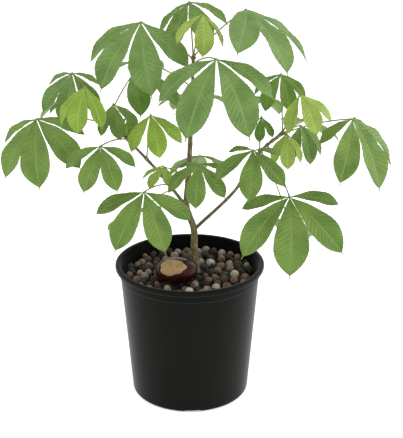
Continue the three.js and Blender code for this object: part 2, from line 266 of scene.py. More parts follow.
# leaf underside, grown and finely felted: paler and dull
def downyUnderside():
    material, tree, here = startMaterial("downyUnderside")
    felt = addNode(tree, "ShaderNodeTexNoise", {"Scale": perSize(leafSkin["felt"]), "Detail": 4.0}, here)
    drift = addNode(tree, "ShaderNodeTexNoise", {"Scale": perSize(leafSkin["drift"])}, here)
    green = addNode(tree, "ShaderNodeValToRGB", links=[("Fac", drift, "Fac")])
    setRamp(green, [(0.35, "#829b64"), (0.65, "#96ad79")])
    bump = addNode(tree, "ShaderNodeBump", {"Strength": 0.5, "Distance": 0.08 * mm},
                   [("Height", felt, "Fac")])
    shader = addNode(tree, "ShaderNodeBsdfPrincipled", {"Roughness": 0.8, "IOR": 1.45, **leafGlow},
                     [("Base Color", green, "Color"), ("Normal", bump, "Normal")])
    addNode(tree, "ShaderNodeOutputMaterial", links=[("Surface", shader, "BSDF")])
    return material


# midrib and veins, fibrous: paler than the blade, smooth and dull, faintly mottled
def fibrousRib(toneName):
    material, tree, here = startMaterial("fibrousRib" + toneName)
    grain = addNode(tree, "ShaderNodeTexNoise", {"Scale": perSize(6), "Detail": 3.0}, here)
    pale = addNode(tree, "ShaderNodeValToRGB", links=[("Fac", grain, "Fac")])
    setRamp(pale, [(0.3, leafTones[toneName]["high"]), (0.7, leafTones[toneName]["rib"])])
    bump = addNode(tree, "ShaderNodeBump", {"Strength": 0.4, "Distance": 0.05 * mm},
                   [("Height", grain, "Fac")])
    shader = addNode(tree, "ShaderNodeBsdfPrincipled", {"Roughness": 0.6, "IOR": 1.45},
                     [("Base Color", pale, "Color"), ("Normal", bump, "Normal")])
    addNode(tree, "ShaderNodeOutputMaterial", links=[("Surface", shader, "BSDF")])
    return material


# leaf stalk, smooth skin: olive green, browned by the sun in patches
def sunnedStalk():
    material, tree, here = startMaterial("sunnedStalk")
    tan = addNode(tree, "ShaderNodeTexNoise", {"Scale": perSize(18), "Detail": 4.0}, here)
    skin = addNode(tree, "ShaderNodeValToRGB", links=[("Fac", tan, "Fac")])
    setRamp(skin, [(0.35, "#5f613c"), (0.5, "#6b7142"), (0.68, "#7b854f")])
    grain = addNode(tree, "ShaderNodeTexNoise", {"Scale": perSize(0.8)}, here)
    bump = addNode(tree, "ShaderNodeBump", {"Strength": 0.4, "Distance": 0.05 * mm},
                   [("Height", grain, "Fac")])
    shader = addNode(tree, "ShaderNodeBsdfPrincipled", {"Roughness": 0.55, "IOR": 1.45},
                     [("Base Color", skin, "Color"), ("Normal", bump, "Normal")])
    addNode(tree, "ShaderNodeOutputMaterial", links=[("Surface", shader, "BSDF")])
    return material


# young bark, thin and corky: dull grey-brown with a green cast, streaked upright, with pale pores
def corkyBark():
    material, tree, here = startMaterial("corkyBark", (1, 1, 0.4))
    streak = addNode(tree, "ShaderNodeTexNoise",
                     {"Scale": perSize(2.4), "Detail": 5.0, "Roughness": 0.6}, here)
    brown = addNode(tree, "ShaderNodeValToRGB", links=[("Fac", streak, "Fac")])
    setRamp(brown, [(0.3, "#463d28"), (0.5, "#5f563a"), (0.7, "#7a6f4d")])
    pores = addNode(tree, "ShaderNodeTexVoronoi", {"Scale": perSize(3.2)}, here)
    spot = addNode(tree, "ShaderNodeMapRange",
                   {"From Min": 0.16, "From Max": 0.24, "To Min": 0.7, "To Max": 0.0},
                   [("Value", pores, "Distance")])
    spotted = addNode(tree, "ShaderNodeMix", {7: toLinear("#a59a82")},
                      [("Factor", spot, "Result"), (6, brown, "Color")], data_type="RGBA")
    bump = addNode(tree, "ShaderNodeBump", {"Strength": 0.7, "Distance": 0.2 * mm},
                   [("Height", streak, "Fac")])
    shader = addNode(tree, "ShaderNodeBsdfPrincipled", {"Roughness": 0.85, "IOR": 1.45},
                     [("Base Color", spotted, 2), ("Normal", bump, "Normal")])
    addNode(tree, "ShaderNodeOutputMaterial", links=[("Surface", shader, "BSDF")])
    return material


# bud scales, gummed with resin: warm brown with a soft wet shine
def resinBud():
    material, tree, here = startMaterial("resinBud")
    scale = addNode(tree, "ShaderNodeTexNoise", {"Scale": perSize(1.6), "Detail": 3.0}, here)
    brown = addNode(tree, "ShaderNodeValToRGB", links=[("Fac", scale, "Fac")])
    setRamp(brown, [(0.35, "#54382a"), (0.65, "#80583d")])
    shader = addNode(tree, "ShaderNodeBsdfPrincipled", {"Roughness": 0.35, "IOR": 1.5},
                     [("Base Color", brown, "Color")])
    addNode(tree, "ShaderNodeOutputMaterial", links=[("Surface", shader, "BSDF")])
    return material


# polypropylene, injection moulded: near black and satin, with soft upright scuffs and a fine mould grain,
# drawn at 1 mm where the real grain is about 0.2 mm
def mouldedPolypropylene():
    material, tree, here = startMaterial("mouldedPolypropylene", (1, 1, 0.25))
    scuff = addNode(tree, "ShaderNodeTexNoise", {"Scale": perSize(24), "Detail": 5.0, "Roughness": 0.6}, here)
    black = addNode(tree, "ShaderNodeValToRGB", links=[("Fac", scuff, "Fac")])
    setRamp(black, [(0.35, "#070806"), (0.7, "#0b0c09")])
    satin = addNode(tree, "ShaderNodeMapRange", {"To Min": 0.42, "To Max": 0.54}, [("Value", scuff, "Fac")])
    grain = addNode(tree, "ShaderNodeTexNoise", {"Scale": perSize(1.0), "Detail": 2.0}, here)
    bump = addNode(tree, "ShaderNodeBump", {"Strength": 0.3, "Distance": 0.03 * mm},
                   [("Height", grain, "Fac")])
    shader = addNode(tree, "ShaderNodeBsdfPrincipled",
                     {"IOR": 1.49, "Specular IOR Level": 0.07, "Sheen Weight": 0.3, "Sheen Roughness": 0.3},
                     [("Base Color", black, "Color"), ("Roughness", satin, "Result"),
                      ("Normal", bump, "Normal")])
    addNode(tree, "ShaderNodeOutputMaterial", links=[("Surface", shader, "BSDF")])
    return material


clayTones = [
    # Dark is a real pebble tone in the upper layer and also colours the whole lower layer as painted shade
    # between the upper pebbles
    {"name": "Dark", "low": "#14110d", "high": "#3a3129", "share": 0.3},
    {"name": "Brown", "low": "#45352a", "high": "#846c5b", "share": 0.28},
    {"name": "Grey", "low": "#5a5048", "high": "#9f9184", "share": 0.17},
    {"name": "Ash", "low": "#28241e", "high": "#524a40", "share": 0.14},
    {"name": "Red", "low": "#604336", "high": "#997462", "share": 0.05},
    {"name": "Pale", "low": "#877e72", "high": "#cac0b4", "share": 0.06},
]


# clay, expanded and fired: dull and dusty, with pits that the kiln's gas left
def firedClay(tone):
    material, tree, here = startMaterial("firedClay" + tone["name"])
    dust = addNode(tree, "ShaderNodeTexNoise",
                   {"Scale": perSize(3.5), "Detail": 5.0, "Roughness": 0.65}, here)
    earth = addNode(tree, "ShaderNodeValToRGB", links=[("Fac", dust, "Fac")])
    setRamp(earth, [(0.35, tone["low"]), (0.65, tone["high"])])
    pits = addNode(tree, "ShaderNodeTexVoronoi", {"Scale": perSize(1.3)}, here)
    bump = addNode(tree, "ShaderNodeBump", {"Strength": 0.8, "Distance": 0.3 * mm},
                   [("Height", pits, "Distance")])
    shader = addNode(tree, "ShaderNodeBsdfPrincipled", {"Roughness": 0.92, "IOR": 1.5},
                     [("Base Color", earth, "Color"), ("Normal", bump, "Normal")])
    addNode(tree, "ShaderNodeOutputMaterial", links=[("Surface", shader, "BSDF")])
    return material


# compost, damp and crumbled: almost black, its own damp brown deepened as painted shade for the gaps between
# the pebbles
def dampCompostAndPaintedShade():
    material, tree, here = startMaterial("dampCompostAndPaintedShade")
    crumb = addNode(tree, "ShaderNodeTexNoise",
                    {"Scale": perSize(2.5), "Detail": 6.0, "Roughness": 0.7}, here)
    dark = addNode(tree, "ShaderNodeValToRGB", links=[("Fac", crumb, "Fac")])
    setRamp(dark, [(0.35, "#0f0c08"), (0.7, "#1f1912")])
    bump = addNode(tree, "ShaderNodeBump", {"Strength": 1.0, "Distance": 1.0 * mm},
                   [("Height", crumb, "Fac")])
    shader = addNode(tree, "ShaderNodeBsdfPrincipled", {"Roughness": 0.95, "IOR": 1.4},
                     [("Base Color", dark, "Color"), ("Normal", bump, "Normal")])
    addNode(tree, "ShaderNodeOutputMaterial", links=[("Surface", shader, "BSDF")])
    return material


# seed coat, naturally polished: deep red-brown with darker flames that mirrors soft light
def polishedSeedCoat():
    material, tree, here = startMaterial("polishedSeedCoat", (1, 1, 1.8))
    flame = addNode(tree, "ShaderNodeTexNoise",
                    {"Scale": perSize(11), "Detail": 4.0, "Distortion": 1.4}, here)
    coat = addNode(tree, "ShaderNodeValToRGB", links=[("Fac", flame, "Fac")])
    setRamp(coat, [(0.32, "#120503"), (0.52, "#280b06"), (0.72, "#45170c")])
    shader = addNode(tree, "ShaderNodeBsdfPrincipled",
                     {"Roughness": 0.3, "IOR": 1.5, "Specular IOR Level": 0.1, "Coat Weight": 0.05,
                      "Coat Roughness": 0.12},
                     [("Base Color", coat, "Color")])
    addNode(tree, "ShaderNodeOutputMaterial", links=[("Surface", shader, "BSDF")])
    return material


# the seed's scar, dry cork: pale tan and dull, mottled
def dryCork():
    material, tree, here = startMaterial("dryCork")
    mottle = addNode(tree, "ShaderNodeTexNoise", {"Scale": perSize(4), "Detail": 5.0}, here)
    tan = addNode(tree, "ShaderNodeValToRGB", links=[("Fac", mottle, "Fac")])
    setRamp(tan, [(0.3, "#836c47"), (0.7, "#a3895e")])
    bump = addNode(tree, "ShaderNodeBump", {"Strength": 0.6, "Distance": 0.3 * mm},
                   [("Height", mottle, "Fac")])
    shader = addNode(tree, "ShaderNodeBsdfPrincipled", {"Roughness": 0.8, "IOR": 1.45},
                     [("Base Color", tan, "Color"), ("Normal", bump, "Normal")])
    addNode(tree, "ShaderNodeOutputMaterial", links=[("Surface", shader, "BSDF")])
    return material


ground = 127.5  # top of the fill, where the trunk is cut
clearance = 0.3  # gap round the fill, and under the trunk and the seed

limbs = {
    "trunk": {
        "points": [[7, 0, 119], [4.6, 4, 153], [4, 6, 173], [-3, 5, 196], [-1, 5, 228], [2, 5, 287],
                   [4, 5, 348]],
        "foot": 4, "tip": 1.2, "bud": 2.2, "flare": 0.9, "flareHeight": 12, "yearScars": [0.3, 0.62]},
    "bough_left": {
        "points": [[-3, 5, 196], [-24, 2, 226], [-38, 0, 244], [-59, 0, 267], [-79, 0, 286]],
        "foot": 1.7, "tip": 1.1, "bud": 2, "flare": 0, "flareHeight": 1, "yearScars": [0.5]},
    "bough_right": {
        "points": [[5, 6, 172], [45, 0, 216], [70, 0, 257], [90, 0, 274]],
        "foot": 1.8, "tip": 1.1, "bud": 2, "flare": 0, "flareHeight": 1, "yearScars": [0.6]},
}


spanSteps = 40


# a smooth curve through the points: each span a cubic whose end slopes come from its neighbours, with a
# span timed by the square root of its length
def limbPath(points, count):
    given = np.array(points, float)
    padded = np.vstack([2 * given[0] - given[1], given, 2 * given[-1] - given[-2]])
    share = np.linspace(0, 1, spanSteps, endpoint=False)[:, None]
    spans = []
    for a, b, c, d in zip(padded, padded[1:], padded[2:], padded[3:]):
        before, during, after = [math.sqrt(np.linalg.norm(q - p)) for p, q in ((a, b), (b, c), (c, d))]
        leave = ((b - a) / before - (c - a) / (before + during) + (c - b) / during) * during
        arrive = ((c - b) / during - (d - b) / (during + after) + (d - c) / after) * during
        cube = 2 * b - 2 * c + leave + arrive
        square = -3 * b + 3 * c - 2 * leave - arrive
        spans.append(b + leave * share + square * share ** 2 + cube * share ** 3)
    return evenly(np.vstack([*spans, given[-1:]]), count)


pathSteps = 1000
limbPaths = {name: limbPath(limb["points"], pathSteps + 1) for name, limb in limbs.items()}

bark = {"sides": 48, "ringEvery": 0.5, "ridge": 0.12, "ridgeTurns": 5, "joint": 0.55, "jointReach": 1.8,
        "scarHeight": 0.28, "scarReach": 0.5, "scarEvery": 1.4, "scarCount": 4,
        "pores": 110, "poreHeight": 0.2, "poreLength": 0.9, "poreWidth": 0.17}


# radius = taper + flare at the foot + shallow ridges that wander round the stem + a swelling at each leaf's
# joint + rings where a year's bud sat + small raised pores, each a hump round its own place
def limbShape(name):
    limb, whole = limbs[name], limbPaths[name]
    length = pathLength(whole)
    path = evenly(whole, int(length / bark["ringEvery"]))
    floor = ground + clearance
    if path[0, 2] < floor:
        path = path[path[:, 2] > floor]
        path = np.vstack([[path[0, 0], path[0, 1], floor], path])
    travelled = np.linspace(length - pathLength(path), length, len(path))[:, None]
    angle = np.linspace(0, 2 * np.pi, bark["sides"], endpoint=False)[None]
    radii = limb["foot"] + (limb["tip"] - limb["foot"]) * travelled / length
    radii = radii + limb["flare"] * np.exp(-3 * (travelled - travelled[0]) / limb["flareHeight"]) + 0 * angle
    for k in range(1, bark["ridgeTurns"] + 1):
        wander = travelled * (0.04 + 0.1 * chance(k, 7)) + 6.28 * chance(k, len(name))
        radii += bark["ridge"] / k * np.sin((2 * k + 1) * angle + wander)
    for leaf in leaves:
        if leaf["limb"] == name:
            radii += bark["joint"] * hump(travelled - leaf["share"] * length, bark["jointReach"])
    for share in limb["yearScars"]:
        for k in range(bark["scarCount"]):
            away = travelled - share * length - k * bark["scarEvery"]
            radii += bark["scarHeight"] * hump(away + 0.3 * np.sin(angle * 2 + k), bark["scarReach"])
    for k in range(bark["pores"]):
        away = travelled - chance(k, 31) * length
        swing = (angle - chance(k, 32) * 2 * np.pi + np.pi) % (2 * np.pi) - np.pi
        radii += bark["poreHeight"] * hump(away, bark["poreLength"]) * hump(swing, bark["poreWidth"])
    return tubeShape(path, radii)


bud = {"rows": 26, "sides": 24, "scaleDepth": 0.22, "scaleRows": 4, "length": 2.6, "endSize": 0.8,
       "sideSize": 0.42, "sideLimit": 0.96, "standOff": 0.6, "endSteps": 30, "sideSteps": 20}


# a pointed egg: radius = the square root of the way along, times what is left of it, with overlapping scales
# as a saw of the way along that shifts from side to side
def budShape(foot, toward, radius):
    share = np.linspace(0.004, 1, bud["rows"])[:, None]
    angle = np.linspace(0, 2 * np.pi, bud["sides"], endpoint=False)[None]
    egg = 1.9 * np.sqrt(share) * (1 - share ** 1.6) * (1 - 0.25 * share) + 0.02
    saw = (share * bud["scaleRows"] + 0.25 * np.abs(np.sin(angle * 2))) % 1
    path = foot + (share - 0.25) * bud["length"] * radius * toward
    return tubeShape(path, radius * egg * (1 - bud["scaleDepth"] * saw * (1 - share)))


# each limb with a bud at its tip, and a small one over each leaf that isn't close to the tip
def makeLimbs():
    skin, budSkin = corkyBark(), resinBud()
    for name, limb in limbs.items():
        gathered = Gathered()
        gathered.add(limbShape(name))
        path = limbPaths[name]
        ahead = unit(path[-1] - path[-bud["endSteps"]])
        gathered.add(budShape(path[-1], ahead, limb["bud"] * bud["endSize"]), (1, 1, 1))
        for leaf in leaves:
            if leaf["limb"] == name and leaf["share"] < bud["sideLimit"]:
                k = int(round(leaf["share"] * pathSteps))
                along = unit(path[k + bud["sideSteps"]] - path[k - bud["sideSteps"]])
                away = unit(np.array(leaf["hub"], float) - path[k])
                foot = path[k] + unit(away + along) * (limb["tip"] + bud["standOff"])
                gathered.add(budShape(foot, unit(away + 2 * along), limb["bud"] * bud["sideSize"]), (1, 1, 1))
        pieceName = "bark" + name.title().replace("_", "")
        makePiece(pieceName, gathered, [skin, budSkin], [name], crease=70)


leafRule = {
    "step": 48, "fanWander": 4, "droop": 34, "tilt": 24, "roll": 0, "bend": 42, "fold": 14, "twist": 0.06,
    "leafletCount": 5, "halfWidth": 0.21, "widest": 0.66, "wedge": 1.2, "rootWidth": 0.03, "stalkArch": 0.1,
    "sideTurn": 120, "sideLoss": 0.8, "sidePower": 2.5, "sideSlim": 0.4,
    "thickness": 0.32, "columns": 15, "crowding": 0.75,
    "veinsAtSixty": 14, "veinPower": 0.6, "veinLean": 0.8, "veinRows": [0, 0.06, 0.35, 0.65, 0.94],
    "teeth": [1.0, -0.9, 0.3, -0.4, 0.6], "toothSize": 0.03,
    "pleat": 0.8, "ripple": 0.012, "sweep": 0.05,
    "ribDepth": 0.75, "ribWidth": 0.06, "pointStart": 0.88, "pointShare": 0.2,
    "shoulderPower": 2.3,
}

# each leaf hangs from a share of the way along a limb; its hub is where its stalk ends, its heading is the
# way the middle of its fan points, in degrees from +X, and its reach is the length of a leaflet there
leaves = [
    {"name": "far_left", "limb": "bough_left", "share": 0.97, "hub": (-145, -12, 292),
     "heading": -87, "reach": 71, "step": 41, "tilt": 28, "droop": 30, "roll": 12},
    {"name": "left_back", "limb": "bough_left", "share": 1, "hub": (-114, 30, 326),
     "heading": -100, "reach": 54, "step": 46, "tilt": 30, "tone": "Cool"},
    {"name": "left_dark", "limb": "bough_left", "share": 1, "hub": (-55, 45, 322),
     "heading": -50, "reach": 62, "leaflets": 2, "step": 46, "tilt": 16, "droop": 18, "tone": "Dark"},
    {"name": "left_bright", "limb": "bough_left", "share": 1, "hub": (-95, -38, 330),
     "heading": -103, "reach": 47, "leaflets": 3, "tilt": 8, "droop": 50, "tone": "Bright"},
    {"name": "left_inner", "limb": "bough_left", "share": 0.9, "hub": (-72, -6, 305),
     "heading": -76, "reach": 37, "leaflets": 3, "step": 44, "droop": 40, "roll": 10},
    {"name": "left_small", "limb": "bough_left", "share": 0.74, "hub": (-60, 10, 288),
     "heading": -80, "reach": 26, "leaflets": 3, "droop": 50, "tone": "Bright"},
    {"name": "left_low", "limb": "bough_left", "share": 0.78, "hub": (-82, -47, 276),
     "heading": -90, "reach": 49, "leaflets": 4, "step": 44, "tilt": 34, "droop": 22},
    {"name": "bough_young", "limb": "bough_left", "share": 0.36, "hub": (-23, -8, 242),
     "heading": -130, "reach": 30, "step": 50, "tilt": 14, "droop": 20, "tone": "Young"},
    {"name": "centre_left", "limb": "bough_left", "share": 0.55, "hub": (-36, -22, 299),
     "heading": -76, "reach": 45, "leaflets": 3, "step": 46, "roll": 8, "tone": "Bright"},
    {"name": "low_left", "limb": "bough_left", "share": 0.25, "hub": (-42, -50, 232),
     "heading": -96, "reach": 66, "leaflets": 4, "step": 46, "tilt": 38, "droop": 16},
    {"name": "top_left", "limb": "trunk", "share": 0.99, "hub": (-45, 6, 381),
     "heading": -108, "reach": 79, "leaflets": 4, "step": 44, "tilt": 28, "droop": 30, "tone": "Cool"},
    {"name": "front_centre", "limb": "trunk", "share": 0.97, "hub": (25, -58, 361),
     "heading": -92, "reach": 83, "leaflets": 4, "step": 46, "tilt": 28, "droop": 30, "tone": "Cool"},
    {"name": "top_right", "limb": "trunk", "share": 1, "hub": (53, 0, 394), "tone": "Cool",
     "heading": -53, "reach": 83, "leaflets": 3, "step": 38, "tilt": 28, "droop": 10, "roll": -15,
     "twist": 0.3},
    {"name": "top", "limb": "trunk", "share": 1, "hub": (0, 42, 393),
     "heading": -92, "reach": 56, "leaflets": 4, "tilt": 12, "roll": 10},
    {"name": "top_young", "limb": "trunk", "share": 1, "hub": (13, -8, 391), "tone": "Young",
     "heading": -84, "reach": 45, "leaflets": 3, "step": 64, "tilt": 5, "droop": 48, "roll": -8},
    {"name": "centre", "limb": "trunk", "share": 0.5, "hub": (10, -34, 254),
     "heading": -100, "reach": 46, "tilt": 30, "droop": 24},
    {"name": "right_centre", "limb": "bough_right", "share": 0.5, "hub": (60, -46, 272),
     "heading": -104, "reach": 53, "step": 50, "tilt": 32, "droop": 20},
    {"name": "right_small", "limb": "bough_right", "share": 0.78, "hub": (70, 12, 287),
     "heading": -100, "reach": 26, "leaflets": 3, "droop": 45, "tone": "Dark"},
    {"name": "right_back", "limb": "bough_right", "share": 1, "hub": (90, 42, 322),
     "heading": -106, "reach": 43, "leaflets": 4, "step": 44, "tone": "Dark"},
    {"name": "right_bright", "limb": "bough_right", "share": 1, "hub": (104, -18, 317),
     "heading": -70, "reach": 44, "leaflets": 3, "tilt": 10, "droop": 43, "roll": 12, "tone": "Young"},
    {"name": "far_right", "limb": "bough_right", "share": 0.98, "hub": (155, -12, 292),
     "heading": -46, "reach": 75, "droop": 36},
    {"name": "right_low", "limb": "bough_right", "share": 0.95, "hub": (110, 30, 273),
     "heading": -60, "reach": 42, "leaflets": 3, "step": 42, "droop": 42},
    {"name": "right_young", "limb": "bough_right", "share": 0.9, "hub": (93, -14, 278),
     "heading": -80, "reach": 36, "leaflets": 3, "step": 52, "tilt": 12, "droop": 57, "tone": "Young"},
    {"name": "low_right", "limb": "bough_right", "share": 0.86, "hub": (95, -44, 225),
     "heading": -89, "reach": 81, "step": 44, "tilt": 36, "droop": 18, "roll": 5},
    # the far side of the crown
    {"name": "back_high", "limb": "trunk", "share": 0.95, "hub": (3, 76, 292),
     "heading": 98, "reach": 50, "leaflets": 4, "step": 44, "tilt": 22, "droop": 14},
    {"name": "back_top_left", "limb": "trunk", "share": 0.87, "hub": (-53, 76, 327),
     "heading": 122, "reach": 54, "leaflets": 4, "step": 44, "tilt": 22, "droop": 14, "tone": "Cool"},
    {"name": "back_left", "limb": "bough_left", "share": 0.93, "hub": (-113, 62, 294),
     "heading": 140, "reach": 52, "leaflets": 4, "tilt": 22, "droop": 14},
    {"name": "back_top_right", "limb": "trunk", "share": 0.8, "hub": (70, 58, 294),
     "heading": 56, "reach": 48, "step": 42, "tilt": 22, "droop": 14, "tone": "Bright"},
    {"name": "back_right", "limb": "bough_right", "share": 0.92, "hub": (114, 66, 268),
     "heading": 42, "reach": 50, "tilt": 22, "droop": 14},
    {"name": "back_low_right", "limb": "bough_right", "share": 0.8, "hub": (104, 60, 156),
     "heading": 50, "reach": 52, "tilt": 22, "droop": 14, "tone": "Cool"},
    {"name": "back_low_left", "limb": "bough_left", "share": 0.2, "hub": (-49, 56, 172),
     "heading": 138, "reach": 52, "leaflets": 4, "tilt": 22, "droop": 14},
    {"name": "back_centre", "limb": "trunk", "share": 0.46, "hub": (10, 62, 231),
     "heading": 92, "reach": 50, "tilt": 22, "droop": 26, "tone": "Dark"},
]


# half the blade's width for a leaflet of length 1: a slow wedge up to the widest place, then a shoulder that
# falls away as a power, and a narrow point that runs on to the end
def bladeHalfWidth(share):
    wedge = np.sin(np.pi / 2 * np.clip(share / leafRule["widest"], 0, 1)) ** leafRule["wedge"]
    beyond = np.clip((share - leafRule["widest"]) / (1 - leafRule["widest"]), 0, 1)
    shoulder = 1 - np.minimum(beyond / leafRule["pointStart"], 1) ** leafRule["shoulderPower"]
    pointed = (1 - leafRule["pointShare"]) * shoulder + leafRule["pointShare"] * (1 - beyond)
    grown = np.where(share < leafRule["widest"], wedge, pointed)
    return leafRule["halfWidth"] * np.maximum(grown, leafRule["rootWidth"])


# the leaflet's own directions: turned in the leaf's rolled plane, drooped out of it, then twisted round its
# midrib so that its outer edge falls
def leafletAxes(leaf, turn):
    heading, turned = math.radians(leaf["heading"]), math.radians(turn)
    tilt, droop, roll, twist = [math.radians(leaf.get(k, leafRule[k]))
                                for k in ("tilt", "droop", "roll", "twist")]
    ahead = np.array([math.cos(tilt) * math.cos(heading), math.cos(tilt) * math.sin(heading),
                      -math.sin(tilt)])
    level = np.array([-math.sin(heading), math.cos(heading), 0])
    aside = level * math.cos(roll) + np.cross(ahead, level) * math.sin(roll)
    normal = np.cross(ahead, aside)
    outward = ahead * math.cos(turned) + aside * math.sin(turned)
    along = outward * math.cos(droop) - normal * math.sin(droop)
    upward = normal * math.cos(droop) + outward * math.sin(droop)
    above = upward * math.cos(twist * turn) + np.cross(upward, along) * math.sin(twist * turn)
    return along, above, np.cross(above, along)


# a leaflet as two sheets on one grid: columns run along the blade and rows lean forward from the midrib as
# the side veins do. Height = an arc along the leaflet + a fold that rises from the midrib + pleats that dip
# at each vein and die away at the midrib and both ends + a ripple towards the edge; width = the outline,
# with teeth on its two outer columns. A leaflet turned to the side is shorter by a power of its turn and
# slimmer by a share of it
def leafletShape(leaf, index, count, seed):
    rule = leafRule
    step = leaf.get("step", rule["step"])
    turn = (index - (count - 1) / 2) * step + (chance(seed, index) - 0.5) * 2 * rule["fanWander"]
    sideways = abs(turn) / rule["sideTurn"]
    length = leaf["reach"] * (1 - rule["sideLoss"] * sideways ** rule["sidePower"])
    breadth = length * (1 - rule["sideSlim"] * sideways)
    along, above, across = leafletAxes(leaf, turn)

    veins = round(rule["veinsAtSixty"] * (length / 60) ** rule["veinPower"])
    perVein = len(rule["veinRows"])
    start = np.append((np.arange(veins)[:, None] + rule["veinRows"]).ravel() / veins, 1)[:, None]
    tooth = np.append(np.tile(rule["teeth"], veins), 0)[:, None]
    reading = np.linspace(-1, 1, rule["columns"])
    side = reading * (1 - rule["crowding"] + rule["crowding"] * np.abs(reading))
    share = start + rule["veinLean"] * np.abs(side) * bladeHalfWidth(start)
    width = side * bladeHalfWidth(share) * breadth * (1 + rule["toothSize"] * tooth * (np.abs(side) > 0.99))

    fade = np.clip(np.abs(side) * 5, 0, 1) * np.clip((1.2 - np.abs(side)) * 3, 0, 1)
    fade = fade * np.sqrt(np.clip(np.sin(np.pi * start), 0, 1))
    pleat = rule["pleat"] * (np.abs(np.sin(np.pi * start * veins)) ** 0.7 - 0.6) * fade
    mid = np.sin(np.pi * np.clip(share, 0, 1))
    waves = np.sin(2 * np.pi * (2.5 * share + chance(seed, index + 10)) + np.sign(side))
    ripple = rule["ripple"] * length * side ** 2 * waves * mid
    sweep = (chance(seed, index + 20) - 0.5) * rule["sweep"] * length * mid
    bend = math.radians(rule["bend"])
    arc = bend * (share - 0.5)
    forward = length * (np.sin(arc) + math.sin(bend / 2)) / bend
    lift = length * (np.cos(arc) - math.cos(bend / 2)) / bend
    fold = np.abs(width) * math.tan(math.radians(rule["fold"]))

    def sheet(raised):
        out = fold + pleat + ripple + raised
        return (np.array(leaf["hub"], float) + along * (forward + out * np.sin(arc))[..., None]
                + above * (lift + out * np.cos(arc))[..., None] + across * (width + sweep)[..., None])

    rib = rule["ribDepth"] * hump(side, rule["ribWidth"]) * (1 - 0.8 * start)
    top, bottom = sheet(rule["thickness"] / 2), sheet(-rule["thickness"] / 2 - rib)[:, ::-1]
    rings = np.concatenate([top, bottom], axis=1)
    shape = closedRings(rings, rings[0].mean(axis=0), rings[-1].mean(axis=0))

    # 0 for the top and the rim, 1 below, 2 on the midrib and the side veins
    columns, ring = rule["columns"], 2 * rule["columns"]
    row, column = np.divmod(np.arange((len(start) - 1) * ring), ring)
    isBelow = (column >= columns) & (column < ring - 1)
    fromMidrib = np.abs(np.where(isBelow, ring - 2 - column, column) - (columns - 2) / 2)
    isRim = column % columns == columns - 1
    isVein = np.isin(row % perVein, [0, perVein - 1]) & ~isRim & (row > perVein)
    shades = np.where((fromMidrib < 1) | isVein, 2, np.where(isBelow, 1, 0))
    return shape, (shades, 0, 0)


# the leaves of one tone on one side of the crown make a piece
def makeLeaves():
    underside = downyUnderside()
    for tone in leafTones:
        skins = [waxyBlade(tone), underside, fibrousRib(tone)]
        for face in ("Front", "Back"):
            gathered, nodes = Gathered(), []
            for seed, leaf in enumerate(leaves):
                isBack = leaf["name"].startswith("back_")
                if leaf.get("tone", "Mature") != tone or isBack != (face == "Back"):
                    continue
                nodes.append("leaf_" + leaf["name"])
                count = leaf.get("leaflets", leafRule["leafletCount"])
                for index in range(count):
                    gathered.add(*leafletShape(leaf, index, count, seed))
            if nodes:
                makePiece("leaves" + tone + face, gathered, skins, nodes)


stalk = {"radius": 0.7, "footSwell": 0.5, "neckSwell": 0.4, "swellReach": 3.0, "sides": 10, "steps": 28,
         "knob": 1.1, "groove": 0.12, "grooveWidth": 0.6}


# radius = a plain stalk + a swelling at its foot and one at its neck, less a shallow groove along one side;
# the path is a curve whose middle control point is raised by a share of its span
def stalkShape(leaf):
    start = limbPaths[leaf["limb"]][int(round(leaf["share"] * pathSteps))]
    end = np.array(leaf["hub"], float)
    middle = (start + end) / 2
    middle[2] += leafRule["stalkArch"] * np.linalg.norm(end - start)
    t = np.linspace(0, 1, 60)[:, None]
    path = evenly((1 - t) ** 2 * start + 2 * t * (1 - t) * middle + t ** 2 * end, stalk["steps"])
    travelled = np.linspace(0, pathLength(path), stalk["steps"])[:, None]
    angle = np.linspace(0, 2 * np.pi, stalk["sides"], endpoint=False)[None]
    radii = (stalk["radius"] + stalk["footSwell"] * hump(travelled, stalk["swellReach"])
             + stalk["neckSwell"] * hump(travelled[-1] - travelled, stalk["swellReach"])
             - stalk["groove"] * hump(angle - np.pi / 2, stalk["grooveWidth"]))
    return tubeShape(path, radii)


# every stalk, with a ball at its hub where the leaflets meet
def makeStalks():
    gathered = Gathered()
    knob, ends = ballPoints(8, 12) * stalk["knob"], poles * stalk["knob"]
    for leaf in leaves:
        gathered.add(stalkShape(leaf))
        hub = np.array(leaf["hub"], float)
        gathered.add(closedRings(knob + hub, *(ends + hub)))
    makePiece("leafStalks", gathered, [sunnedStalk()], ["leaf_" + leaf["name"] for leaf in leaves])


pot = {"height": 139.5, "rimRadius": 75, "rimInnerRadius": 70.2, "lipHeight": 5, "collarHeight": 13.5,
       "collarRadius": 70.6, "wallTopRadius": 69.8, "baseRadius": 59.5, "baseCorner": 3,
       "wall": 1.6, "floor": 4.5, "innerRing": 20, "sides": 192, "crease": 35}
drain = {"count": 4, "turn": 3, "width": 16, "depth": 2, "start": 32, "holeRadius": 5, "holePlace": 45}


# a bend from one point to another round the corner where their lines meet
def bendRound(start, corner, end, count=7):
    t = np.linspace(0, 1, count)[:, None]
    start, corner, end = [np.array(point, float) for point in (start, corner, end)]
    return (1 - t) ** 2 * start + 2 * t * (1 - t) * corner + t ** 2 * end


